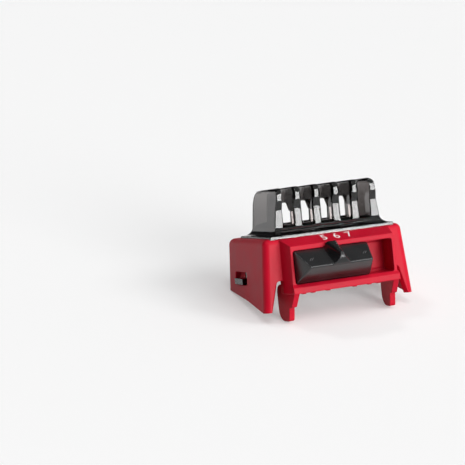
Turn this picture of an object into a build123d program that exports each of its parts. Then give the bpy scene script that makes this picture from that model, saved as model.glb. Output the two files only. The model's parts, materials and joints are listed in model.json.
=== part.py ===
"""Adjustable guide comb for a hair clipper, at its shortest setting.

The pieces are modelled upright: X runs along the comb, -Y is the front with the thumb slider, and Z
is the way the comb lifts. Y = 0 is the front wall and Z = 0 the tips of the two inner legs. At the
end all pieces are leaned back together, as the attachment stands on its toes and rear corners.
"""

import os
from math import asin, atan2, cos, degrees, hypot, radians, sin, tan

from build123d import *

# Settings of the comb
STEP = 4.45                  # slide of the button from one number to the next
STEPS = 2                    # numbers after the first
LIFT_PER_STEP = 1.0          # longer cut for each step

# Clearances
SLIDE_GAP = 0.15             # button in its pocket, stem in its slot
COMB_GAP = 0.12              # comb skirt in the deck opening
CAM_GAP = 0.15               # cam plate to panel and lugs
PIN_GAP = 0.08               # follower pin in its sloping slot
SCREW_GAP = 0.05             # screw in its hole
TAB_GAP = 0.18               # comb tab in the end-wall window, above and below
NOSE_GAP = 0.5               # pointer to the front of the housing
RAIL_GAP = 0.6               # cam plate over the notched rail

# Red frame, overall
TOP_WIDTH = 50.0             # across the end walls at the deck
DEPTH = 33.2                 # front wall to back wall
FLARE = 5.0                  # end walls lean out by this angle, degrees
WALL = 1.8                   # end walls
FRONT_WALL = 1.6
BACK_WALL = 1.8
DECK = 1.6
RIM = 2.45                   # end-wall top beside the comb
FRONT_RIM = 0.93             # front-wall top before the comb
BACK_DECK = 5.4              # deck behind the comb
CORNER_RADIUS = 2.2          # upright front corners
BACK_RADIUS = 1.2            # upright back corners
TOP_RADIUS = 2.1             # edge round the deck
BACK_RAIL = 9.5              # height of the wall left at the back
BACK_ARCH_RADIUS = 4.0
BACK_ARCH_INSET = 3.9        # arch side from the end wall's inner face

# Red frame, front housing from the toes up
LEG_LENGTH = 9.2             # toe to the underside of the shelf
SHELF = 2.9                  # underside of the shelf to the sill of the pocket
WINDOW_HEIGHT = 11.0
LINTEL = 4.2                 # pocket top to deck
HOUSING_DEPTH = 5.6          # window plane before the front wall
HOUSING_SIDE = 5.35          # housing side to the end wall's outer face, at the deck
HOUSING_TAPER = 1.15         # housing narrows by this on each side towards the front
HOUSING_FLARE = 1.5          # its sides lean out, degrees
ROOF_STEP = 0.6              # roof starts below the deck
ROOF_DROP = 2.15             # roof falls by this to the front
POCKET_DEPTH = 7.0           # window plane to panel
POCKET_RADIUS = 0.8
PANEL = 1.4                  # wall behind the pocket
GROOVE = 0.3                 # lines along the top and bottom of the panel
GROOVE_INSET = 1.0
SHELF_LIP = 1.04             # shelf stands out before the window plane
SHELF_SIDE = 0.25            # and beside the housing
SHELF_EDGE = 1.9             # height of its front edge
TOOTH_PLACES = (4.8, 10.2, 13.5)
TOOTH = 0.8                  # small teeth under the shelf
TOOTH_WIDTH = 1.2
TOOTH_Y = -1.0

# Red frame, feet
LEG = 1.9                    # thickness of an inner leg
LEG_TURN = 5.0               # legs stand closer together at the front, degrees
LEG_BACK = 6.1               # rear edge of a leg
LEG_SHOULDER = 2.8           # radius at the top of its rear edge
LEG_STEP = 4.8               # height of the step on its front edge
LEG_STEP_Y = -3.2            # step, from front to back
LEG_STEP_FALL = 0.4
LEG_NECK_Y = -1.5
TOE_RADIUS = 3.7             # round rear of the toe
TOE_FRONT = -0.6             # front of the toe
TOE_FRONT_RADIUS = 1.2
FOOT_HEIGHT = 3.6            # front corner posts
FOOT_LENGTH = 2.0
KINK = (16.05, 6.94)         # bend in an end wall's lower edge
REAR_HEIGHT = 9.8            # rear lower corners
ARCH_RISE = 4.3              # arch between post and housing, above the shelf's underside
ARCH_RADIUS = 1.4
POST_TOP = 3.5               # post width at the arch and at the foot, behind
POST_FOOT = 2.4
POST_BEVEL = 0.9             # more is cut away at the front

# End-wall windows
WINDOW_LENGTH = 10.65
WINDOW_TO_BACK = 6.5         # window's rear end to the back of the frame
WINDOW_SILL = 11.9
WINDOW_RADIUS = 0.7

# Smoke-clear comb
FINS = 6
FIN_PITCH = 6.95
FIN = 2.85                   # thickness of a middle fin
END_FIN = 3.45               # and of an end one, at the deck
FRONT_SHOULDER = 2.9         # base before the fins
BACK_SHOULDER = 3.0          # and behind them
FIN_BACK_LEAN = 0.8          # back edge of a fin leans in by this at the crown
FIN_DRAFT = 6.0              # end fins lean in, degrees
COMB_HEIGHT = 16.2           # crown above the deck
CROWN_FALL = 0.8             # crown falls to the back
CROWN_FRONT_RADIUS = 2.0
CROWN_BACK_RADIUS = 5.5
CROWN_EDGE_RADIUS = 2.2      # outer top edges of the end fins
NECK_RISE = 9.0              # front edge of a fin stands upright up to here, above the deck
NECK_RADIUS = 1.6
BEAD = 1.1                   # round front of the crown stands out before it
BEAD_RISE = 11.8
FLANGE = 0.7                 # base plate; its top stands this much over the deck
FLARE_RADIUS = 2.8           # hollow curve from base to fins
SLOT_RISE = 3.7              # floor of the slots above the deck
SLOT_DIP = 1.1               # slots fall to the front and back
FRONT_LEG = 2.75             # fin before the space for the clipper's blade
BACK_LEG = 2.8               # and behind it
CUT_STEP = 8.1               # roof of that space above the deck, at the front
CUT_HEIGHT = 10.8            # and behind
CUT_LEDGE = 1.65
CUT_SLOPE = 2.0
CUT_RADIUS = 3.0
SKIRT = 1.4
SKIRT_DEPTH = 3.1            # below the deck
TAB_LENGTH = 7.5
TAB_BACK_GAP = 0.4
TAB_PROUD = 0.5              # tab stands out of the end wall
TAB = 2.1                    # height of a tab
ARM_OVERLAP = 0.6            # arm reaches past the window at both ends
LUG = 1.5                    # lugs that carry the follower pins
LUG_WIDTH = 5.0
PIN_X = 7.0
PIN_RADIUS = 1.0
PIN_WALL = 0.65              # pin above the screw heads, at the first number

# Black button
BUTTON_LENGTH = 26.4
NOSE = 8.4                   # ridge before the window plane
NOSE_HEIGHT = 5.6            # ridge above the button's foot
NOSE_LENGTH = 21.6           # ridge between the slanted ends
NOSE_RADIUS = 0.5
BUTTON_WALL = 1.6
STEM_LENGTH = 7.0
STEM_HEIGHT = 3.6
POINTER_FRONT = (4.0, 0.55, 3.6, 0.4)  # pointer's height, crown radius, half-width and hollow of its
POINTER_BACK = (3.4, 2.1, 3.0, 0.12)   # flanks, at its front and at its rear end
POINTER_REACH = 1.2          # pointer runs this far before the ridge, and is cut to its round front there
POINTER_TIP = (-0.35, 3.7)   # top of that round front, from the ridge
POINTER_SINK = 0.35          # foot of the pointer in the upper face
DOME = (2.6, 2.8)            # round rear end, along the pointer and down

# Cam plate, its screws and the click spring
CAM = 1.5
CAM_DROP = 4.1               # lower edge of the plate below the stem's middle
CAM_EDGE = 1.6               # plastic round the sloping slots
SCREW_RADIUS = 0.8
SCREW_HEAD = 1.6
SCREW_LENGTH = 5.2
SCREW_SPACING = 3.9
SPRING = 0.3
SPRING_HALF = 6.0
SPRING_WIDTH = 1.1
SPRING_TUCK = 0.55           # spring end held in the cam plate
SPRING_BEND = 1.2            # half-length of the bent tip
SPRING_TIP = 0.55            # thickness at the tip
SPRING_GAP = 0.04
SPRING_LEDGE = 0.4           # spring above the cam plate's lower edge
SPRING_ROOM = 0.8            # room over the spring to bend into
NOTCH = 0.55                 # depth of the click notches
NOTCH_HALF = 0.75
NOTCH_GAP = 0.2              # spring tip above the bottom of a notch
RAIL = 1.4                   # notched rail behind the panel
RAIL_HEIGHT = 2.2

# Modelling
OVER = 1.0                   # cuts run past a face by this
NEAR = 0.05                  # edges this close to a place count as there

# Worked out from the above
TRAVEL = STEP * STEPS
LIFT = LIFT_PER_STEP * STEPS
RAMP = degrees(atan2(LIFT, TRAVEL))
SILL = LEG_LENGTH + SHELF
WINDOW_TOP = SILL + WINDOW_HEIGHT
DECK_HEIGHT = WINDOW_TOP + LINTEL
WELL = DECK_HEIGHT - SKIRT_DEPTH - SLIDE_GAP
REST_X = -TRAVEL / 2
WINDOW_HALF = BUTTON_LENGTH / 2 + TRAVEL / 2 + SLIDE_GAP
HOUSING_HALF = TOP_WIDTH / 2 - HOUSING_SIDE
PANEL_FRONT = POCKET_DEPTH - HOUSING_DEPTH
PANEL_BACK = PANEL_FRONT + PANEL
CAM_FRONT = PANEL_BACK + CAM_GAP
CAM_BACK = CAM_FRONT + CAM
LUG_FRONT = CAM_BACK + CAM_GAP
COMB_HALF = TOP_WIDTH / 2 - RIM - COMB_GAP
COMB_FRONT = FRONT_RIM + COMB_GAP
COMB_BACK = DEPTH - BACK_DECK - COMB_GAP
FIN_FRONT = COMB_FRONT + FRONT_SHOULDER
FIN_BACK = COMB_BACK - BACK_SHOULDER
CUT_FRONT = FIN_FRONT + FRONT_LEG
CUT_BACK = FIN_BACK - BACK_LEG
WINDOW_BACK = DEPTH - WINDOW_TO_BACK
WINDOW_FRONT = WINDOW_BACK - WINDOW_LENGTH
BASE_TOP = DECK_HEIGHT + FLANGE
SKIRT_BOTTOM = DECK_HEIGHT - SKIRT_DEPTH
CROWN = DECK_HEIGHT + COMB_HEIGHT
FIN_INNER = FIN_PITCH * (FINS - 1) / 2 - FIN / 2
FIN_OUTER = FIN_INNER + END_FIN
STEM_Z = SILL + WINDOW_HEIGHT / 2
PIN_Z = STEM_Z + SCREW_HEAD + PIN_WALL + PIN_RADIUS
CAM_HALF = PIN_X + TRAVEL / 2 + PIN_RADIUS + CAM_EDGE
CAM_BOTTOM = STEM_Z - CAM_DROP
CAM_TOP = PIN_Z + LIFT + PIN_RADIUS + CAM_EDGE
RAIL_TOP = CAM_BOTTOM - RAIL_GAP
TOE_Y = LEG_BACK - TOE_RADIUS


def end_face(z, inset=0.0):
    """Half-width of the frame at height z, less an inset from its outer face."""
    return TOP_WIDTH / 2 + (DECK_HEIGHT - z) * tan(radians(FLARE)) - inset / cos(radians(FLARE))


def upright_edges(part):
    """Edges of the tray's corners from the front, flared as its end walls are."""
    upright = cos(radians(2 * FLARE))
    return part.edges().filter_by(lambda edge: abs(edge.tangent_at(0.5).Z) > upright).sort_by(Axis.Y)


def front_plane(y):
    """Plane parallel to the front wall at depth y: sketches read as seen from the front."""
    return Plane.XZ.offset(-y)


def block(x, y, z, mode=Mode.ADD):
    """Box between the given low and high values along each axis."""
    with Locations(((x[0] + x[1]) / 2, (y[0] + y[1]) / 2, (z[0] + z[1]) / 2)):
        Box(x[1] - x[0], y[1] - y[0], z[1] - z[0], mode=mode)


def mirrored(*right):
    """Corners of an outline whose right half is given, from the bottom up."""
    return [*right, *((-x, z) for x, z in reversed(right))]


# Red frame: a flared tray, open below and under the comb, with a front housing for the button
with BuildPart() as frame:
    with BuildSketch(front_plane(0)):
        Polygon(*mirrored((end_face(0), 0), (TOP_WIDTH / 2, DECK_HEIGHT)), align=None)
    extrude(amount=-DEPTH)
    fillet(upright_edges(frame)[:2], CORNER_RADIUS)
    fillet(upright_edges(frame)[-2:], BACK_RADIUS)
    fillet(frame.faces().sort_by(Axis.Z)[-1].outer_wire().edges(), TOP_RADIUS)

    # Inside of the tray, and the well that the comb's skirt moves in
    with BuildSketch(front_plane(FRONT_WALL)):
        ceiling = DECK_HEIGHT - DECK
        Polygon(*mirrored((end_face(-OVER, WALL), -OVER), (end_face(ceiling, WALL), ceiling)), align=None)
    extrude(amount=FRONT_WALL + BACK_WALL - DEPTH, mode=Mode.SUBTRACT)
    block(
        (-TOP_WIDTH / 2 + RIM, TOP_WIDTH / 2 - RIM),
        (FRONT_RIM, DEPTH - BACK_DECK),
        (WELL, DECK_HEIGHT + OVER),
        mode=Mode.SUBTRACT,
    )

    # Lower edge of the end walls, from the front feet up to the rear corners
    with BuildSketch(Plane.YZ):
        with BuildLine():
            rear_slope = (REAR_HEIGHT - KINK[1]) / (DEPTH - KINK[0])
            Polyline(
                (-OVER, -OVER), (-OVER, FOOT_HEIGHT), (FOOT_LENGTH, FOOT_HEIGHT), KINK,
                (DEPTH + OVER, REAR_HEIGHT + OVER * rear_slope), (DEPTH + OVER, -OVER), close=True,
            )
        make_face()
    extrude(amount=TOP_WIDTH, both=True, mode=Mode.SUBTRACT)

    # Back wall: a rail under the deck, open below it
    with BuildSketch(front_plane(DEPTH - 2 * BACK_WALL)):
        rail_bottom = DECK_HEIGHT - BACK_RAIL
        inset = WALL + BACK_ARCH_INSET
        Polygon(*mirrored((end_face(0, inset), 0), (end_face(rail_bottom, inset), rail_bottom)), align=None)
        fillet(vertices().sort_by(Axis.Y)[-2:], BACK_ARCH_RADIUS)
    extrude(amount=-3 * BACK_WALL, mode=Mode.SUBTRACT)

    # Arches between the corner posts and the housing, bevelled towards the front
    arch_top = LEG_LENGTH + ARCH_RISE
    for y, bevel in ((0, POST_BEVEL), (FRONT_WALL, 0)):
        with BuildSketch(front_plane(y)):
            foot = end_face(0, POST_FOOT) + bevel
            top = end_face(arch_top, POST_TOP) - ARCH_RADIUS + bevel
            Polygon(*mirrored((foot, 0), (top, arch_top)), align=None)
            fillet(vertices().sort_by(Axis.Y)[-2:], ARCH_RADIUS)
    loft(ruled=True, mode=Mode.SUBTRACT)

    # Front housing, its back panel and the shelf
    roof = DECK_HEIGHT - ROOF_STEP
    housing_flare = tan(radians(HOUSING_FLARE))
    for y, half, top in (
        (0, HOUSING_HALF, roof),
        (-HOUSING_DEPTH, HOUSING_HALF - HOUSING_TAPER, roof - ROOF_DROP),
    ):
        with BuildSketch(front_plane(y)):
            foot = half + (top - LEG_LENGTH) * housing_flare
            Polygon(*mirrored((foot, LEG_LENGTH), (half, top)), align=None)
    loft(ruled=True)
    block((-HOUSING_HALF, HOUSING_HALF), (0, PANEL_BACK), (LEG_LENGTH, WELL))
    with BuildSketch(Plane.YZ):
        with BuildLine():
            Polyline(
                (0, LEG_LENGTH), (-HOUSING_DEPTH - SHELF_LIP, LEG_LENGTH),
                (-HOUSING_DEPTH - SHELF_LIP, LEG_LENGTH + SHELF_EDGE), (-HOUSING_DEPTH, SILL), (0, SILL),
                close=True,
            )
        make_face()
    shelf_half = HOUSING_HALF - HOUSING_TAPER + (roof - SILL) * housing_flare
    extrude(amount=shelf_half + SHELF_SIDE, both=True)

    # Pocket for the button, the lines on its panel and the slot for the button's stem
    with BuildSketch(front_plane(-HOUSING_DEPTH - SHELF_LIP)):
        with Locations((0, STEM_Z)):
            RectangleRounded(2 * WINDOW_HALF, WINDOW_HEIGHT, POCKET_RADIUS)
    extrude(amount=-SHELF_LIP - POCKET_DEPTH, mode=Mode.SUBTRACT)
    for z in (SILL + GROOVE_INSET, WINDOW_TOP - GROOVE_INSET):
        block(
            (-WINDOW_HALF, WINDOW_HALF),
            (PANEL_FRONT, PANEL_FRONT + GROOVE),
            (z - GROOVE / 2, z + GROOVE / 2),
            mode=Mode.SUBTRACT,
        )
    stem_slot = STEM_LENGTH / 2 + TRAVEL / 2 + SLIDE_GAP
    stem_side = STEM_HEIGHT / 2 + SLIDE_GAP
    block(
        (-stem_slot, stem_slot), (0, PANEL_BACK), (STEM_Z - stem_side, STEM_Z + stem_side), mode=Mode.SUBTRACT
    )

    # Rail behind the panel, with a click notch for each number
    block((-WINDOW_HALF, WINDOW_HALF), (PANEL_BACK, PANEL_BACK + RAIL), (RAIL_TOP - RAIL_HEIGHT, RAIL_TOP))
    with BuildSketch(front_plane(PANEL_BACK)):
        for setting in range(STEPS + 1):
            x = REST_X + setting * STEP
            with BuildLine():
                Polyline(
                    (x - NOTCH_HALF, RAIL_TOP), (x, RAIL_TOP - NOTCH), (x + NOTCH_HALF, RAIL_TOP), close=True
                )
            make_face()
    extrude(amount=-RAIL, mode=Mode.SUBTRACT)

    # Inner legs that grip the clipper head, each with a stepped front edge and a round toe
    turn = radians(LEG_TURN)
    leg_face = shelf_half + HOUSING_DEPTH * tan(turn)
    for side in (-1, 1):
        outward = (cos(turn), -side * sin(turn), 0)
        backward = (side * sin(turn), cos(turn), 0)
        with BuildSketch(Plane((side * leg_face, 0, 0), x_dir=backward, z_dir=outward)):
            with BuildLine():
                toe = CenterArc((TOE_Y, TOE_RADIUS), TOE_RADIUS, 270, 90)
                Polyline(
                    toe @ 1, (LEG_BACK, SILL), (PANEL_BACK, SILL), (-HOUSING_DEPTH, SILL - SHELF_EDGE / 2),
                    (-HOUSING_DEPTH - SHELF_LIP / 2, LEG_LENGTH), (LEG_STEP_Y, LEG_STEP),
                    (LEG_NECK_Y, LEG_STEP - LEG_STEP_FALL), (TOE_FRONT, 0), toe @ 0,
                )
            make_face()
            fillet(vertices().sort_by_distance((TOE_FRONT, 0))[0], TOE_FRONT_RADIUS)
            fillet(vertices().sort_by_distance((LEG_BACK, SILL))[0], LEG_SHOULDER)
        extrude(amount=-side * LEG)

    # Small teeth under the shelf
    for x in TOOTH_PLACES:
        for side in (-1, 1):
            block(
                (side * x - TOOTH_WIDTH / 2, side * x + TOOTH_WIDTH / 2),
                (TOOTH_Y - TOOTH, TOOTH_Y + TOOTH),
                (LEG_LENGTH - TOOTH, LEG_LENGTH),
            )

    # Windows in the end walls for the comb's tabs
    with BuildSketch(Plane.YZ):
        window = TAB + LIFT + 2 * TAB_GAP
        with Locations(((WINDOW_FRONT + WINDOW_BACK) / 2, WINDOW_SILL + window / 2)):
            RectangleRounded(WINDOW_LENGTH, window, WINDOW_RADIUS)
    extrude(amount=TOP_WIDTH, both=True, mode=Mode.SUBTRACT)

# Smoke-clear comb: a hood of fins on a flared base, with a skirt, two snap arms and two lugs
with BuildPart() as comb:
    with BuildSketch(Plane.YZ):
        with BuildLine():
            neck = (FIN_FRONT, DECK_HEIGHT + NECK_RISE)
            bead = (FIN_FRONT - BEAD, DECK_HEIGHT + BEAD_RISE)
            Polyline(
                (FIN_FRONT, DECK_HEIGHT), neck, bead, (FIN_FRONT - BEAD, CROWN),
                (FIN_BACK - FIN_BACK_LEAN, CROWN - CROWN_FALL), (FIN_BACK, DECK_HEIGHT), close=True,
            )
        make_face()
        for corner, radius in (
            (neck, NECK_RADIUS),
            (bead, NECK_RADIUS),
            ((FIN_FRONT - BEAD, CROWN), CROWN_FRONT_RADIUS),
            ((FIN_BACK - FIN_BACK_LEAN, CROWN - CROWN_FALL), CROWN_BACK_RADIUS),
        ):
            fillet(vertices().sort_by_distance(corner)[0], radius)
    extrude(amount=TOP_WIDTH / 2, both=True)
    with BuildSketch(front_plane(0)):
        draft = COMB_HEIGHT * tan(radians(FIN_DRAFT))
        Polygon(*mirrored((FIN_OUTER, DECK_HEIGHT), (FIN_OUTER - draft, CROWN)), align=None)
        fillet(vertices().sort_by(Axis.Y)[-2:], CROWN_EDGE_RADIUS)
    extrude(amount=-DEPTH, mode=Mode.INTERSECT)
    block((-COMB_HALF, COMB_HALF), (COMB_FRONT, COMB_BACK), (SKIRT_BOTTOM, BASE_TOP))
    inner = comb.edges().filter_by_position(Axis.Z, BASE_TOP - NEAR, BASE_TOP + NEAR)
    inner = inner.filter_by_position(Axis.X, NEAR - COMB_HALF, COMB_HALF - NEAR)
    inner = inner.filter_by_position(Axis.Y, COMB_FRONT + NEAR, COMB_BACK - NEAR)
    fillet(inner, FLARE_RADIUS)

    # Space for the clipper's blade, open downwards
    with BuildSketch(Plane.YZ):
        with BuildLine():
            Polyline(
                (CUT_FRONT, SKIRT_BOTTOM), (CUT_FRONT, DECK_HEIGHT + CUT_STEP),
                (CUT_FRONT + CUT_LEDGE, DECK_HEIGHT + CUT_STEP),
                (CUT_FRONT + CUT_LEDGE + CUT_SLOPE, DECK_HEIGHT + CUT_HEIGHT),
                (CUT_BACK, DECK_HEIGHT + CUT_HEIGHT), (CUT_BACK, SKIRT_BOTTOM), close=True,
            )
        make_face()
        fillet(vertices().sort_by(Axis.Y)[-2:].sort_by(Axis.X)[-1], CUT_RADIUS)
    extrude(amount=FIN_INNER, both=True, mode=Mode.SUBTRACT)

    # Slots between the fins, which fall away to the front and back
    slot_floor = DECK_HEIGHT + SLOT_RISE
    slot_lip = slot_floor - SLOT_DIP
    gap = FIN_PITCH - FIN
    for slot in range(FINS - 1):
        middle = (slot - (FINS - 2) / 2) * FIN_PITCH
        with BuildSketch(Plane.YZ.offset(middle)):
            with BuildLine():
                Polyline(
                    (0, slot_lip), (FIN_FRONT - SLOT_DIP, slot_lip), (CUT_FRONT, slot_floor),
                    (CUT_BACK, slot_floor), (FIN_BACK + SLOT_DIP, slot_lip), (DEPTH, slot_lip),
                    (DEPTH, CROWN + OVER), (0, CROWN + OVER), close=True,
                )
            make_face()
        extrude(amount=gap / 2, both=True, mode=Mode.SUBTRACT)

    # Hollow under the base plate, inside the skirt
    block(
        (-COMB_HALF + SKIRT, COMB_HALF - SKIRT),
        (COMB_FRONT + SKIRT, COMB_BACK - SKIRT),
        (SKIRT_BOTTOM, DECK_HEIGHT),
        mode=Mode.SUBTRACT,
    )

    # Snap arms, with a tab through each end-wall window
    tab_z = WINDOW_SILL + TAB_GAP
    tab_back = WINDOW_BACK - TAB_BACK_GAP
    tab_face = end_face(tab_z) + TAB_PROUD
    for side in (-1, 1):
        arm_x = sorted((side * (COMB_HALF - SKIRT), side * COMB_HALF))
        tab_x = sorted((side * (COMB_HALF - SKIRT), side * tab_face))
        block(arm_x, (WINDOW_FRONT - ARM_OVERLAP, WINDOW_BACK + ARM_OVERLAP), (tab_z, DECK_HEIGHT))
        block(tab_x, (tab_back - TAB_LENGTH, tab_back), (tab_z, tab_z + TAB))

    # Lugs with the follower pins
    for side in (-1, 1):
        block(
            (side * PIN_X - LUG_WIDTH / 2, side * PIN_X + LUG_WIDTH / 2),
            (LUG_FRONT, LUG_FRONT + LUG),
            (PIN_Z - LUG_WIDTH / 2, DECK_HEIGHT + FLANGE / 2),
        )
        with BuildSketch(front_plane(LUG_FRONT)):
            with Locations((side * PIN_X, PIN_Z)):
                Circle(PIN_RADIUS)
        extrude(amount=LUG_FRONT - PANEL_BACK - CAM_GAP)

# Black button: a wedge nose with a raised pointer, hollow behind, on a stem through the panel
button_foot = SILL + SLIDE_GAP
button_top = WINDOW_TOP - SLIDE_GAP
nose_y = -HOUSING_DEPTH - NOSE
nose_z = button_foot + NOSE_HEIGHT

# Its pointer: hollow flanks, a front that runs on from the lower face in a round, a round rear end
with BuildPart() as pointer:
    fall = atan2(NOSE_HEIGHT, NOSE)
    slope = atan2(button_top - nose_z, NOSE)
    front_y = nose_y - POINTER_REACH
    rear_y = -HOUSING_DEPTH - NOSE_GAP

    crest = []
    for y, section in ((front_y, POINTER_FRONT), (rear_y, POINTER_BACK)):
        height, crown_radius, foot_half, hollow = section
        foot_z = nose_z + (y - nose_y) * tan(slope)
        crest.append(foot_z + height)
        with BuildSketch(Plane((REST_X, y, foot_z), x_dir=(1, 0, 0), z_dir=(0, 1, 0))):
            with BuildLine():
                shoulder = crown_radius - height
                crown = ThreePointArc((-crown_radius, shoulder), (0, -height), (crown_radius, shoulder))
                right = SagittaArc(crown @ 1, (foot_half, POINTER_SINK), hollow)
                left = SagittaArc(crown @ 0, (-foot_half, POINTER_SINK), -hollow)
                Line(right @ 1, left @ 1)
            make_face()
    loft()
    climb = atan2(crest[1] - crest[0], rear_y - front_y)
    top_z = crest[1] + NEAR
    with BuildSketch(Plane.YZ.offset(REST_X)):
        with BuildLine():
            ridge_run = NOSE_RADIUS / tan((fall + slope) / 2)
            start = (nose_y + ridge_run * cos(fall), nose_z - ridge_run * sin(fall))
            tip = (nose_y + POINTER_TIP[0], nose_z + POINTER_TIP[1])
            round_front = TangentArc(start, tip, tangent=(-cos(fall), sin(fall)))
            dome_start = (rear_y - DOME[0], top_z - DOME[0] * tan(climb))
            dome = TangentArc(dome_start, (rear_y, top_z - DOME[1]), tangent=(cos(climb), sin(climb)))
            Polyline(round_front @ 1, (tip[0], top_z), dome @ 0)
            Polyline(dome @ 1, (rear_y, nose_z - (rear_y - nose_y) * tan(fall)), round_front @ 0)
        make_face()
    extrude(amount=BUTTON_LENGTH / 2, both=True, mode=Mode.INTERSECT)

with BuildPart() as slider_button:
    with BuildSketch(Plane.YZ.offset(REST_X)):
        with BuildLine():
            Polyline(
                (PANEL_FRONT - SLIDE_GAP, button_foot), (-HOUSING_DEPTH, button_foot), (nose_y, nose_z),
                (-HOUSING_DEPTH, button_top), (PANEL_FRONT - SLIDE_GAP, button_top), close=True,
            )
        make_face()
        fillet(vertices().sort_by(Axis.X)[0], NOSE_RADIUS)
    extrude(amount=BUTTON_LENGTH / 2, both=True)
    with BuildSketch(Plane.XY.offset(SILL)):
        with Locations((REST_X, 0)):
            end = BUTTON_LENGTH / 2
            plan = mirrored((NOSE_LENGTH / 2, nose_y), (end, -HOUSING_DEPTH), (end, PANEL_FRONT))
            Polygon(*plan, align=None)
    extrude(amount=WINDOW_HEIGHT, mode=Mode.INTERSECT)
    with BuildSketch(front_plane(PANEL_FRONT)):
        with Locations((REST_X, STEM_Z)):
            RectangleRounded(BUTTON_LENGTH, button_top - button_foot, POCKET_RADIUS)
    extrude(amount=PANEL_FRONT - nose_y, mode=Mode.INTERSECT)
    add(pointer.part)

    # Hollow behind, and the stem
    hollow_half = BUTTON_LENGTH / 2 - BUTTON_WALL
    block(
        (REST_X - hollow_half, REST_X + hollow_half),
        (-HOUSING_DEPTH + BUTTON_WALL, PANEL_FRONT),
        (button_foot + BUTTON_WALL, button_top - BUTTON_WALL),
        mode=Mode.SUBTRACT,
    )
    block(
        (REST_X - STEM_LENGTH / 2, REST_X + STEM_LENGTH / 2),
        (-HOUSING_DEPTH, CAM_FRONT),
        (STEM_Z - STEM_HEIGHT / 2, STEM_Z + STEM_HEIGHT / 2),
    )
    with BuildSketch(front_plane(CAM_FRONT)):
        with Locations((REST_X, STEM_Z)):
            with GridLocations(SCREW_SPACING, 1, 2, 1):
                Circle(SCREW_RADIUS + SCREW_GAP)
    extrude(amount=SCREW_LENGTH, mode=Mode.SUBTRACT)

# Cam plate behind the panel: sloping slots for the pins, a recess for the click spring
spring_z = CAM_BOTTOM + SPRING_LEDGE
with BuildPart() as cam_plate:
    with BuildSketch(front_plane(CAM_FRONT)):
        with Locations((REST_X, (CAM_TOP + CAM_BOTTOM) / 2)):
            RectangleRounded(2 * CAM_HALF, CAM_TOP - CAM_BOTTOM, CAM_EDGE / 2)
        with Locations((-PIN_X, PIN_Z + LIFT / 2), (PIN_X, PIN_Z + LIFT / 2)):
            with Locations((REST_X, 0)):
                SlotCenterToCenter(
                    hypot(TRAVEL, LIFT), 2 * (PIN_RADIUS + PIN_GAP), rotation=-RAMP, mode=Mode.SUBTRACT
                )
        with Locations((REST_X, CAM_BOTTOM)):
            Rectangle(2 * SPRING_HALF, 2 * (spring_z - CAM_BOTTOM + SPRING_ROOM), mode=Mode.SUBTRACT)
        with Locations((REST_X, spring_z + SPRING / 2)):
            Rectangle(
                2 * (SPRING_HALF + SPRING_TUCK + SPRING_GAP), SPRING + 2 * SPRING_GAP, mode=Mode.SUBTRACT
            )
    extrude(amount=-CAM)
    with Locations(Plane((REST_X, CAM_BACK, STEM_Z), x_dir=(-1, 0, 0), z_dir=(0, 1, 0))):
        with GridLocations(SCREW_SPACING, 1, 2, 1):
            CounterSinkHole(SCREW_RADIUS + SCREW_GAP, SCREW_HEAD + SCREW_GAP)

# Two countersunk screws, cam plate to stem
with BuildPart() as cam_screws:
    for side in (-1, 1):
        seat = Vector(REST_X + side * SCREW_SPACING / 2, CAM_BACK, STEM_Z)
        with BuildSketch(Plane(seat, x_dir=(1, 0, 0), z_dir=(0, 0, 1))):
            with BuildLine():
                Polyline(
                    (0, 0), (SCREW_HEAD, 0), (SCREW_RADIUS, SCREW_RADIUS - SCREW_HEAD),
                    (SCREW_RADIUS, -SCREW_LENGTH), (0, -SCREW_LENGTH), close=True,
                )
            make_face()
        revolve(axis=Axis(seat, (0, 1, 0)))

# Click spring: a thin leaf with a bent tip, its ends tucked into the cam plate
spring_tip = RAIL_TOP - NOTCH + NOTCH_GAP
with BuildPart() as detent_spring:
    with BuildSketch(front_plane(CAM_FRONT + (CAM - SPRING_WIDTH) / 2)):
        with Locations((REST_X, 0)):
            Polygon(
                (0, spring_tip), (SPRING_BEND, spring_z), (SPRING_HALF + SPRING_TUCK, spring_z),
                (SPRING_HALF + SPRING_TUCK, spring_z + SPRING), (SPRING_BEND - SPRING / 2, spring_z + SPRING),
                (0, spring_tip + SPRING_TIP), (SPRING / 2 - SPRING_BEND, spring_z + SPRING),
                (-SPRING_HALF - SPRING_TUCK, spring_z + SPRING), (-SPRING_HALF - SPRING_TUCK, spring_z),
                (-SPRING_BEND, spring_z),
                align=None,
            )
    extrude(amount=-SPRING_WIDTH)

# Lean the pieces back until the rear corners meet the floor that the toes stand on, and put the
# origin on the floor below the middle of the whole
pieces = {
    "frame": frame,
    "comb": comb,
    "slider_button": slider_button,
    "cam_plate": cam_plate,
    "cam_screws": cam_screws,
    "detent_spring": detent_spring,
}
reach = DEPTH - TOE_Y
rise = REAR_HEIGHT - TOE_RADIUS
lean = degrees(atan2(rise, reach) + asin(TOE_RADIUS / hypot(rise, reach)))
tilt = Location((0, 0, 0), (-lean, 0, 0))
boxes = [piece.part.moved(tilt).bounding_box() for piece in pieces.values()]
middle_y = (min(box.min.Y for box in boxes) + max(box.max.Y for box in boxes)) / 2
floor_z = min(box.min.Z for box in boxes)
standing = Location((0, -middle_y, -floor_z), (-lean, 0, 0))

os.makedirs("parts", exist_ok=True)
for name, piece in pieces.items():
    piece.part.label = name
    piece.part.location = standing
    export_step(piece.part, f"parts/{name}.step")
print(f"lean {lean:.4f} degrees, standing at y {-middle_y:.4f}, z {-floor_z:.4f}, lift ramp {RAMP:.3f}")
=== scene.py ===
"""Looks of an adjustable guide comb for a hair clipper: red frame, clear finned hood, black slider."""

import json
from math import cos, radians, sin

import bmesh
import bpy
from mathutils import Matrix, Vector
from mathutils.bvhtree import BVHTree


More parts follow.
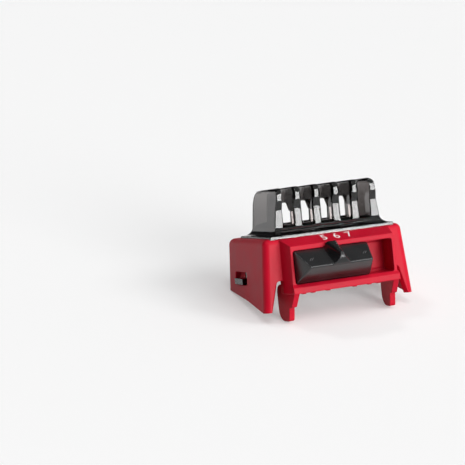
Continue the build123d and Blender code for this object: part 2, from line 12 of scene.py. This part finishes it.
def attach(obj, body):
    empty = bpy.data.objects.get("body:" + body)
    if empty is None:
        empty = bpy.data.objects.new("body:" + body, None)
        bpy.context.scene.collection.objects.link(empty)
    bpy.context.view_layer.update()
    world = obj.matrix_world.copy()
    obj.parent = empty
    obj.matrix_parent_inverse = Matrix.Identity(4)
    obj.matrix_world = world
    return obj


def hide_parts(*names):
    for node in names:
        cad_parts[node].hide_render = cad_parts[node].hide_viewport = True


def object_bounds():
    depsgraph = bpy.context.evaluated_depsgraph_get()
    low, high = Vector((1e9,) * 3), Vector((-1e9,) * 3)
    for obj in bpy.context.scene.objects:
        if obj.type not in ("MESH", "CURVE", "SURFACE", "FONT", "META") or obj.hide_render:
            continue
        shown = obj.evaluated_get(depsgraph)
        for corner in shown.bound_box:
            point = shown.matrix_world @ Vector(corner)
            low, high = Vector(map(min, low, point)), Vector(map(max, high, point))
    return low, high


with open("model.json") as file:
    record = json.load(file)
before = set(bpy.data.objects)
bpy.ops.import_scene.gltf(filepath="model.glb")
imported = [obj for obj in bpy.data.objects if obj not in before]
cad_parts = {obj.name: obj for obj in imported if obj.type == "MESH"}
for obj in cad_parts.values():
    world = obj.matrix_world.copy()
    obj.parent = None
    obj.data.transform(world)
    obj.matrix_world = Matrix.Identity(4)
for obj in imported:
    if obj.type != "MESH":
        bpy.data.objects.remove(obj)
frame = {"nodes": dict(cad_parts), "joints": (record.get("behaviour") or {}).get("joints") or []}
cad_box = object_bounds()
nodes = frame["nodes"]
joints = {joint["name"]: joint for joint in frame["joints"]}


# Red frame
# One injection moulding in red ABS with a satin finish: deck, flared end walls, front housing and legs.
# Its edges are broken by a small radius and painted a little paler: a painted highlight along them, with a
# little wear.
FRAME_EDGE = 0.00045
FRAME_RED = (0.55, 0.006, 0.026, 1)
FRAME_RED_DEEP = (0.48, 0.004, 0.021, 1)
# Paler red painted on the frame's edges: a painted highlight with a little wear.
FRAME_RED_WORN_AND_SHEEN = (0.6, 0.015, 0.04, 1)
FRAME_ROUGHNESS = 0.4
FRAME_GLOSS = 0.13
WELD = 0.000001
SHARP_ANGLE = radians(28)
CLOUD_SCALE = 140
UNEVEN_GLOSS = 0.04
# Where rounded edges turn to the paler colour: a painted edge highlight with a little wear.
WEAR_AND_SHEEN_START = 0.8
WEAR_AND_SHEEN_END = 0.99
GRAIN_SCALE = 9000
GRAIN_DETAIL = 4
GRAIN_HEIGHT = 0.000006


def merged_copy(node, name):
    """Copy of a CAD node as one skin, shaded smooth except across its sharp edges."""
    shape = bmesh.new()
    shape.from_mesh(nodes[node].data)
    bmesh.ops.remove_doubles(shape, verts=shape.verts, dist=WELD)
    shape.verts.index_update()
    skin = bpy.data.meshes.new(name)
    points = [vertex.co for vertex in shape.verts]
    skin.from_pydata(points, [], [[vertex.index for vertex in face.verts] for face in shape.faces])
    shape.free()
    skin.shade_smooth()
    skin.set_sharp_from_angle(angle=SHARP_ANGLE)
    piece = bpy.data.objects.new(name, skin)
    bpy.context.scene.collection.objects.link(piece)
    return piece


def finished(piece):
    """Turns what a piece's modifiers make into its plain mesh."""
    baked = bpy.data.meshes.new_from_object(piece.evaluated_get(bpy.context.evaluated_depsgraph_get()))
    piece.modifiers.clear()
    piece.data = baked


def even_shading(piece):
    """Keeps flat faces flat beside the rounds that run into them."""
    weighted = piece.modifiers.new("even shading", "WEIGHTED_NORMAL")
    weighted.keep_sharp = True
    weighted.weight = 100


def shader(name):
    """New material, with its node tree and its Principled shader."""
    material = bpy.data.materials.new(name)
    material.use_nodes = True
    return material, material.node_tree, material.node_tree.nodes["Principled BSDF"]


def noise(tree, scale, detail=2.0, stretch=(1, 1, 1)):
    """Noise on the piece's own coordinates, finer along an axis that is stretched more."""
    place = tree.nodes.new("ShaderNodeTexCoord")
    mapped = tree.nodes.new("ShaderNodeMapping")
    mapped.inputs["Scale"].default_value = stretch
    tree.links.new(place.outputs["Object"], mapped.inputs["Vector"])
    made = tree.nodes.new("ShaderNodeTexNoise")
    made.inputs["Scale"].default_value = scale
    made.inputs["Detail"].default_value = detail
    tree.links.new(mapped.outputs["Vector"], made.inputs["Vector"])
    return made.outputs["Fac"]


def ramp(tree, source, low, high, start=0.3, end=0.7):
    """Colour ramp from low to high over a part of the source's range."""
    made = tree.nodes.new("ShaderNodeValToRGB")
    made.color_ramp.elements[0].position = start
    made.color_ramp.elements[0].color = low
    made.color_ramp.elements[1].position = end
    made.color_ramp.elements[1].color = high
    tree.links.new(source, made.inputs["Fac"])
    return made.outputs["Color"]


def broken_edge(tree, radius):
    """Normal of the surface with its edges rounded, and how far it turns from the plain normal there."""
    rounded = tree.nodes.new("ShaderNodeBevel")
    rounded.samples = 8
    rounded.inputs["Radius"].default_value = radius
    plain = tree.nodes.new("ShaderNodeNewGeometry")
    along = tree.nodes.new("ShaderNodeVectorMath")
    along.operation = "DOT_PRODUCT"
    tree.links.new(rounded.outputs["Normal"], along.inputs[0])
    tree.links.new(plain.outputs["Normal"], along.inputs[1])
    return rounded.outputs["Normal"], along.outputs["Value"]


def moulded_plastic(name, colours, roughness, edge, gloss):
    """Satin moulded plastic: a spark-eroded grain, faint cloudiness in colour and gloss, edges painted paler
    as a little wear and a painted highlight.
    """
    colour, deep, worn_and_sheen = colours
    material, tree, surface = shader(name)
    normal, flat = broken_edge(tree, edge)
    cloud = noise(tree, CLOUD_SCALE)
    # The rounded edges are painted paler: a painted highlight along them, with a little wear.
    wear_and_sheen = tree.nodes.new("ShaderNodeMix")
    wear_and_sheen.data_type = "RGBA"
    worn_and_sheen_edge = ramp(tree, flat, (1, 1, 1, 1), (0, 0, 0, 1), WEAR_AND_SHEEN_START, WEAR_AND_SHEEN_END)
    tree.links.new(worn_and_sheen_edge, wear_and_sheen.inputs["Factor"])
    tree.links.new(ramp(tree, cloud, deep, colour), wear_and_sheen.inputs["A"])
    wear_and_sheen.inputs["B"].default_value = worn_and_sheen
    tree.links.new(wear_and_sheen.outputs["Result"], surface.inputs["Base Color"])
    low = (roughness - UNEVEN_GLOSS,) * 3 + (1,)
    high = (roughness + UNEVEN_GLOSS,) * 3 + (1,)
    tree.links.new(ramp(tree, cloud, low, high), surface.inputs["Roughness"])
    fine = noise(tree, GRAIN_SCALE, GRAIN_DETAIL)
    bump = tree.nodes.new("ShaderNodeBump")
    bump.inputs["Distance"].default_value = GRAIN_HEIGHT
    tree.links.new(fine, bump.inputs["Height"])
    tree.links.new(normal, bump.inputs["Normal"])
    tree.links.new(bump.outputs["Normal"], surface.inputs["Normal"])
    surface.inputs["Specular IOR Level"].default_value = gloss
    return material


red_colours = (FRAME_RED, FRAME_RED_DEEP, FRAME_RED_WORN_AND_SHEEN)
red_plastic = moulded_plastic("red_plastic", red_colours, FRAME_ROUGHNESS, FRAME_EDGE, FRAME_GLOSS)
frame_piece = merged_copy("frame", "red_frame")
even_shading(frame_piece)
finished(frame_piece)
frame_piece.data.materials.append(red_plastic)
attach(frame_piece, "frame_body")
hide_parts("frame")


# Numbers on the roof of the housing
# White pad print, one plain number over each place where the slider clicks: the cutting length.
NUMBERS = ("5", "6", "7")
NUMBER_HEIGHT = 0.0038
NUMBER_NARROW = 0.82
NUMBER_BOLD = 0.00001
NUMBER_BACK = 0.0045
NUMBER_LEFT = 0.0003
DIGIT_SHARE = 0.7
PRINT = 0.00002
PRINT_WHITE = (0.93, 0.92, 0.91, 1)
PRINT_ROUGHNESS = 0.5
SPECK_SCALE = 4000
SPECK_DETAIL = 3
THIN_INK = 0.9
lift = Vector(joints["comb_lift"]["axis"]).normalized()
front = Vector((0, -lift.z, lift.y))
right = Vector((1, 0, 0))
travel = joints["slider_slide"]["range_m"][1]


def farthest(node, way):
    """How far a CAD node reaches along a direction, from the origin."""
    return max(vertex.co.dot(way) for vertex in nodes[node].data.vertices)


def seat_on(node, x, forward, height, way):
    """Place and normal where a ray from an upright place, sent one way, meets a CAD node."""
    mesh = nodes[node].data
    tree = BVHTree.FromPolygons(
        [vertex.co for vertex in mesh.vertices], [list(face.vertices) for face in mesh.polygons]
    )
    start = right * x + front * forward + lift * height
    place, normal, _, _ = tree.ray_cast(start, way)
    return place, normal


def on_surface(place, normal, along):
    """Matrix that lays a flat shape on a surface, its X axis along a direction."""
    side = normal.cross(along).normalized()
    return Matrix.Translation(place) @ Matrix((along, side, normal)).transposed().to_4x4()


def ink(name, colour, roughness):
    """Printed ink with a slightly uneven cover."""
    material, tree, surface = shader(name)
    speck = noise(tree, SPECK_SCALE, SPECK_DETAIL)
    shade = tuple(THIN_INK * channel for channel in colour[:3]) + (1,)
    tree.links.new(ramp(tree, speck, shade, colour), surface.inputs["Base Color"])
    surface.inputs["Roughness"].default_value = roughness
    return material


white_ink = ink("white_ink", PRINT_WHITE, PRINT_ROUGHNESS)
for place_number, number in enumerate(NUMBERS):
    curve = bpy.data.curves.new(f"number_{number}", "FONT")
    curve.body = number
    curve.size = NUMBER_HEIGHT / DIGIT_SHARE
    curve.offset = NUMBER_BOLD
    curve.align_x = "CENTER"
    curve.align_y = "CENTER"
    curve.extrude = PRINT / 2
    text = bpy.data.objects.new(f"number_{number}_text", curve)
    bpy.context.scene.collection.objects.link(text)
    flat = bpy.data.meshes.new_from_object(text.evaluated_get(bpy.context.evaluated_depsgraph_get()))
    bpy.data.objects.remove(text)
    step = (place_number - 1) * travel / 2 - NUMBER_LEFT
    reach = farthest("frame", front) - NUMBER_BACK
    place, normal = seat_on("frame", step, reach, farthest("frame", lift), -lift)
    narrow = Matrix.Scale(NUMBER_NARROW, 4, right)
    flat.transform(on_surface(place + normal * PRINT / 2, normal, right) @ narrow)
    piece = bpy.data.objects.new(f"number_{number}", flat)
    bpy.context.scene.collection.objects.link(piece)
    flat.materials.clear()
    flat.materials.append(white_ink)
    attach(piece, "frame_body")


# Clear comb
# One moulding in polished smoke-clear polycarbonate: six fins, flared base, skirt, arms and lugs.
# The tint deepens with thickness, and the outer edges are rounded, so that it glides over the hair.
COMB_EDGE = 0.00028
CROWN_EDGE = 0.0009
LEG_EDGE = 0.0003
INNER_FINS = 0.0156
CROWN_LEVEL = 0.0088
SLOT_LEVEL = 0.0038
RIM_EDGE = 0.0004
RIM_LEVEL = 0.002
FLAT_ANGLE = radians(0.4)
STRIP_ANGLE = radians(15)
STRIP_FLAT = 0.9999
SOFT_ANGLE = radians(32)
SIDEWAYS = 0.1
ROUND_STEPS = 4
COMB_TINT = (0.24, 0.2, 0.19, 1)
COMB_DENSITY = 1000
COMB_IOR = 1.58
COMB_POLISH = (0.015, 0.015, 0.015, 1)
COMB_SMEAR = (0.05, 0.05, 0.05, 1)
SMEAR_SCALE = 220
comb_piece = merged_copy("comb", "clear_comb")
shape = bmesh.new()
shape.from_mesh(comb_piece.data)
bmesh.ops.dissolve_limit(shape, angle_limit=FLAT_ANGLE, verts=shape.verts, edges=shape.edges, delimit=set())
deck = farthest("frame", lift)
fin_middle = (farthest("comb", front) - farthest("comb", -front)) / 2


def level(edge):
    """Height of an edge's lower end over the deck."""
    return min(vertex.co.dot(lift) for vertex in edge.verts) - deck


# The narrow flat strip along the base's rim is merged, so that the rim's round has room.
strip = [
    edge for edge in shape.edges
    if 0 < level(edge) < RIM_LEVEL and 0 < edge.calc_face_angle(0) < STRIP_ANGLE
    and max(face.normal.dot(lift) for face in edge.link_faces) > STRIP_FLAT
]
bmesh.ops.dissolve_edges(shape, edges=strip)
weight = shape.edges.layers.float.new("bevel_weight_edge")
for edge in shape.edges:
    side = min(edge.link_faces, key=lambda face: abs(face.normal.x))
    outward = side.normal.dot(edge.verts[0].co - front * fin_middle - lift * (deck + SLOT_LEVEL)) > 0
    inner_fin = abs(side.normal.x) < SIDEWAYS and max(abs(vertex.co.x) for vertex in edge.verts) < INNER_FINS
    if edge.calc_face_angle(0) < SOFT_ANGLE or level(edge) < 0 and not edge.is_convex:
        radius = 0
    elif inner_fin and outward and level(edge) > CROWN_LEVEL:
        radius = CROWN_EDGE
    elif inner_fin and outward and level(edge) > SLOT_LEVEL:
        radius = LEG_EDGE
    elif 0 < level(edge) < RIM_LEVEL:
        radius = RIM_EDGE
    else:
        radius = COMB_EDGE
    edge[weight] = radius / CROWN_EDGE
shape.to_mesh(comb_piece.data)
shape.free()
bevel = comb_piece.modifiers.new("edge", "BEVEL")
bevel.width = CROWN_EDGE
bevel.segments = ROUND_STEPS
bevel.limit_method = "WEIGHT"
bevel.use_clamp_overlap = False
bevel.harden_normals = True
finished(comb_piece)
# Rounding can pass the top of the CAD box by less than a micrometre, so the copy is held under that top.
for vertex in comb_piece.data.vertices:
    vertex.co.z = min(vertex.co.z, cad_box[1][2])


def clear_plastic(name, tint, density):
    """Polished clear plastic: sharp refraction, a smoke tint that grows with thickness."""
    material, tree, surface = shader(name)
    surface.inputs["Base Color"].default_value = (1, 1, 1, 1)
    surface.inputs["Transmission Weight"].default_value = 1
    surface.inputs["IOR"].default_value = COMB_IOR
    smear = noise(tree, SMEAR_SCALE)
    tree.links.new(ramp(tree, smear, COMB_POLISH, COMB_SMEAR), surface.inputs["Roughness"])
    absorb = tree.nodes.new("ShaderNodeVolumeAbsorption")
    absorb.inputs["Color"].default_value = tint
    absorb.inputs["Density"].default_value = density
    tree.links.new(absorb.outputs["Volume"], tree.nodes["Material Output"].inputs["Volume"])
    return material


smoke_clear = clear_plastic("smoke_clear", COMB_TINT, COMB_DENSITY)
comb_piece.data.materials.append(smoke_clear)
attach(comb_piece, "comb_body")
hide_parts("comb")


# Thumb slider
# Black moulded button with a fine satin grain, pushed sideways by the thumb on its raised pointer.
BUTTON_EDGE = 0.0006
BUTTON_BLACK = (0.014, 0.0145, 0.0155, 1)
BUTTON_BLACK_DEEP = (0.008, 0.0085, 0.009, 1)
# Paler grey painted along the slider's edges: mostly a painted highlight on its crease and ridge, with a
# little wear.
BUTTON_BLACK_WORN_AND_SHEEN = (0.045, 0.0455, 0.048, 1)
BUTTON_ROUGHNESS = 0.2
BUTTON_GLOSS = 0.4
button_piece = merged_copy("slider_button", "thumb_slider")
even_shading(button_piece)
finished(button_piece)
black_colours = (BUTTON_BLACK, BUTTON_BLACK_DEEP, BUTTON_BLACK_WORN_AND_SHEEN)
black_plastic = moulded_plastic("black_plastic", black_colours, BUTTON_ROUGHNESS, BUTTON_EDGE, BUTTON_GLOSS)
button_piece.data.materials.append(black_plastic)
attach(button_piece, "slider_body")
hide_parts("slider_button")


# Marks on the thumb slider
# Two pairs of fine slanted strokes in grey print, one pair on each sloping top face beside the pointer.
MARKS = {"Count": 2, "Pitch": 0.0007, "Span": 0.0188, "Length": 0.0017, "Width": 0.00016, "Height": 0.00002}
MARK_SLANT = -0.7
MARK_BACK = 0.0043
MARK_GREY = (0.13, 0.13, 0.135, 1)


def stroke_tree(name, sizes, turn, material):
    """Geometry nodes for two rows of slanted strokes, and the identifiers of its named inputs."""
    tree = bpy.data.node_groups.new(name, "GeometryNodeTree")
    tree.is_modifier = True
    keys = {}
    for size, value in sizes.items():
        kind = "NodeSocketInt" if isinstance(value, int) else "NodeSocketFloat"
        keys[size] = tree.interface.new_socket(size, in_out="INPUT", socket_type=kind).identifier
    tree.interface.new_socket("Strokes", in_out="OUTPUT", socket_type="NodeSocketGeometry")
    given = tree.nodes.new("NodeGroupInput").outputs
    stroke = tree.nodes.new("GeometryNodeMeshCube")
    stroke_size = tree.nodes.new("ShaderNodeCombineXYZ")
    for axis, size in zip("XYZ", ("Width", "Length", "Height")):
        tree.links.new(given[size], stroke_size.inputs[axis])
    tree.links.new(stroke_size.outputs["Vector"], stroke.inputs["Size"])
    rows = tree.nodes.new("GeometryNodeJoinGeometry")
    pitch = tree.nodes.new("ShaderNodeCombineXYZ")
    tree.links.new(given["Pitch"], pitch.inputs["X"])
    for side in (-0.5, 0.5):
        away = tree.nodes.new("ShaderNodeMath")
        away.operation = "MULTIPLY"
        away.inputs[1].default_value = side
        tree.links.new(given["Span"], away.inputs[0])
        start = tree.nodes.new("ShaderNodeCombineXYZ")
        tree.links.new(away.outputs["Value"], start.inputs["X"])
        row = tree.nodes.new("GeometryNodeMeshLine")
        tree.links.new(given["Count"], row.inputs["Count"])
        tree.links.new(start.outputs["Vector"], row.inputs["Start Location"])
        tree.links.new(pitch.outputs["Vector"], row.inputs["Offset"])
        tree.links.new(row.outputs["Mesh"], rows.inputs["Geometry"])
    placed = tree.nodes.new("GeometryNodeInstanceOnPoints")
    placed.inputs["Rotation"].default_value = (0, 0, turn)
    tree.links.new(rows.outputs["Geometry"], placed.inputs["Points"])
    tree.links.new(stroke.outputs["Mesh"], placed.inputs["Instance"])
    real = tree.nodes.new("GeometryNodeRealizeInstances")
    tree.links.new(placed.outputs["Instances"], real.inputs["Geometry"])
    inked = tree.nodes.new("GeometryNodeSetMaterial")
    inked.inputs["Material"].default_value = material
    tree.links.new(real.outputs["Geometry"], inked.inputs["Geometry"])
    tree.links.new(inked.outputs["Geometry"], tree.nodes.new("NodeGroupOutput").inputs["Strokes"])
    return tree, keys


grey_ink = ink("grey_ink", MARK_GREY, PRINT_ROUGHNESS)
marks_tree, marks_keys = stroke_tree("slider_strokes", MARKS, MARK_SLANT, grey_ink)
marks = bpy.data.objects.new("slider_marks", bpy.data.meshes.new("slider_marks"))
bpy.context.scene.collection.objects.link(marks)
strokes = marks.modifiers.new("strokes", "NODES")
strokes.node_group = marks_tree
for size, value in MARKS.items():
    strokes[marks_keys[size]] = value
finished(marks)
button_middle = (farthest("slider_button", right) - farthest("slider_button", -right)) / 2
reach = farthest("slider_button", front) - MARK_BACK
place, normal = seat_on("slider_button", button_middle - MARKS["Span"] / 2, reach, deck, -lift)
place.x = button_middle
marks.data.transform(on_surface(place + normal * MARKS["Height"] / 2, normal, right))
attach(marks, "slider_body")


# Ramp plate
# Natural acetal plate behind the housing's panel, screwed to the slider's stem.
PLATE_WHITE = (0.72, 0.71, 0.67, 1)
PLATE_SHADE = (0.66, 0.65, 0.61, 1)
PLATE_ROUGHNESS = 0.42
PLATE_EDGE = 0.00015
PLATE_GLOSS = 0.5
plate_colours = (PLATE_WHITE, PLATE_SHADE, PLATE_WHITE)
acetal = moulded_plastic("natural_acetal", plate_colours, PLATE_ROUGHNESS, PLATE_EDGE, PLATE_GLOSS)
plate = nodes["cam_plate"]
plate.data.materials.clear()
plate.data.materials.append(acetal)


# Screws
# Two small countersunk screws of zinc-plated steel, which hold the ramp plate on the slider's stem.
SCREW_ZINC = (0.6, 0.6, 0.62, 1)
SCREW_ROUGHNESS = 0.3
LINE_SCALE = 9000
LINE_DETAIL = 3
LINE_STRETCH = (0.04, 1, 1)
LINE_SHADE = 0.75


def drawn_steel(name, colour, roughness):
    """Bare steel with fine drawing lines along X."""
    material, tree, surface = shader(name)
    surface.inputs["Metallic"].default_value = 1
    lines = noise(tree, LINE_SCALE, LINE_DETAIL, LINE_STRETCH)
    shade = tuple(LINE_SHADE * channel for channel in colour[:3]) + (1,)
    tree.links.new(ramp(tree, lines, shade, colour), surface.inputs["Base Color"])
    surface.inputs["Roughness"].default_value = roughness
    return material


screws = nodes["cam_screws"]
screws.data.materials.clear()
screws.data.materials.append(drawn_steel("cam_screws_steel", SCREW_ZINC, SCREW_ROUGHNESS))


# Click spring
# A bowed leaf of rolled spring steel, held in the ramp plate, that clicks into the frame's notches.
SPRING_STEEL = (0.5, 0.51, 0.54, 1)
SPRING_ROUGHNESS = 0.25
spring = nodes["detent_spring"]
spring.data.materials.clear()
spring.data.materials.append(drawn_steel("detent_spring_steel", SPRING_STEEL, SPRING_ROUGHNESS))


# Studio
# A white floor, and soft lights: a low one from the front, one from the front right, small ones from above
# and from behind for the rims. The room is dim at the left and paler at the upper right.
FLOOR_SIZE = 40.0
FLOOR_COLOUR = (1, 1, 1, 1)
FLOOR_BOUNCED = (0.68, 0.68, 0.68, 1)
FLOOR_GLOW = 0.3
FLOOR_ROUGHNESS = 0.7
FLOOR_GLOSS = 0.1
ROOM_DARK = (0.03, 0.03, 0.032, 1)
ROOM_PALE = (0.65, 0.65, 0.65, 1)
ROOM_BRIGHT_SIDE = (0.6, -0.5, 0.62)
ROOM_TURN = 0.1
floor_mesh = bpy.data.meshes.new("floor")
half = FLOOR_SIZE / 2
corners = [(-half, -half, 0), (half, -half, 0), (half, half, 0), (-half, half, 0)]
floor_mesh.from_pydata(corners, [], [(0, 1, 2, 3)])
floor = bpy.data.objects.new("floor", floor_mesh)
bpy.context.scene.collection.objects.link(floor)
floor_material, floor_tree, floor_surface = shader("white_floor")
floor_surface.inputs["Roughness"].default_value = FLOOR_ROUGHNESS
floor_surface.inputs["Specular IOR Level"].default_value = FLOOR_GLOSS
path = floor_tree.nodes.new("ShaderNodeLightPath")
seen = path.outputs["Is Camera Ray"]
for kind in ("Is Glossy Ray", "Is Transmission Ray"):
    either = floor_tree.nodes.new("ShaderNodeMath")
    either.operation = "MAXIMUM"
    floor_tree.links.new(seen, either.inputs[0])
    floor_tree.links.new(path.outputs[kind], either.inputs[1])
    seen = either.outputs["Value"]
pale = ramp(floor_tree, seen, FLOOR_BOUNCED, FLOOR_COLOUR, 0, 1)
floor_tree.links.new(pale, floor_surface.inputs["Base Color"])
share = floor_tree.nodes.new("ShaderNodeMath")
share.operation = "MULTIPLY"
share.inputs[1].default_value = FLOOR_GLOW
floor_tree.links.new(seen, share.inputs[0])
glow = floor_tree.nodes.new("ShaderNodeEmission")
cover = floor_tree.nodes.new("ShaderNodeMixShader")
floor_tree.links.new(share.outputs["Value"], cover.inputs["Fac"])
floor_tree.links.new(floor_surface.outputs["BSDF"], cover.inputs[1])
floor_tree.links.new(glow.outputs["Emission"], cover.inputs[2])
floor_tree.links.new(cover.outputs["Shader"], floor_tree.nodes["Material Output"].inputs["Surface"])
floor_mesh.materials.append(floor_material)

world = bpy.data.worlds.new("room")
world.use_nodes = True
bpy.context.scene.world = world
room = world.node_tree.nodes["Background"]
way = world.node_tree.nodes.new("ShaderNodeTexCoord")
towards = world.node_tree.nodes.new("ShaderNodeVectorMath")
towards.operation = "DOT_PRODUCT"
towards.inputs[1].default_value = ROOM_BRIGHT_SIDE
world.node_tree.links.new(way.outputs["Generated"], towards.inputs[0])
walls = ramp(world.node_tree, towards.outputs["Value"], ROOM_DARK, ROOM_PALE, ROOM_TURN, 1)
world.node_tree.links.new(walls, room.inputs["Color"])


def soft_light(name, way, angle, strength):
    """Far soft light from a direction, as wide as an angle."""
    lamp = bpy.data.lights.new(name, "SUN")
    lamp.angle = radians(angle)
    lamp.energy = strength
    lit = bpy.data.objects.new(name, lamp)
    lit.rotation_euler = (-Vector(way)).to_track_quat("-Z", "Y").to_euler()
    bpy.context.scene.collection.objects.link(lit)


soft_light("right_light", way=(0.62, -0.45, 0.64), angle=20, strength=1.0)
soft_light("top_light", way=(0, -0.3, 0.95), angle=20, strength=0.45)
soft_light("front_light", way=(0.28, -0.92, 0.28), angle=29, strength=2.1)
soft_light("rim_light", way=(-0.3, 0.4, 0.87), angle=10, strength=0.35)


# Camera
# Stands where the photograph was taken from, with its long lens and slight roll.
CAMERA_AZIMUTH = -21.6512
CAMERA_ELEVATION = 19.9239
CAMERA_ROLL = 0.3575
CAMERA_DISTANCE = 0.455248
CAMERA_AIM = Vector((-0.033012, 0, 0.028244))
CAMERA_LENS = 108.432
azimuth = radians(CAMERA_AZIMUTH)
elevation = radians(CAMERA_ELEVATION)
back = Vector((sin(azimuth) * cos(elevation), -cos(azimuth) * cos(elevation), sin(elevation)))
camera_data = bpy.data.cameras.new("camera")
camera_data.lens = CAMERA_LENS
camera_data.clip_start = 0.01
camera = bpy.data.objects.new("camera", camera_data)
turn = Matrix.Rotation(azimuth, 4, "Z") @ Matrix.Rotation(radians(90) - elevation, 4, "X")
turn = turn @ Matrix.Rotation(radians(CAMERA_ROLL), 4, "Z")
camera.matrix_world = Matrix.Translation(CAMERA_AIM + back * CAMERA_DISTANCE) @ turn
bpy.context.scene.collection.objects.link(camera)
bpy.context.scene.camera = camera
bpy.context.scene.view_settings.view_transform = "Standard"
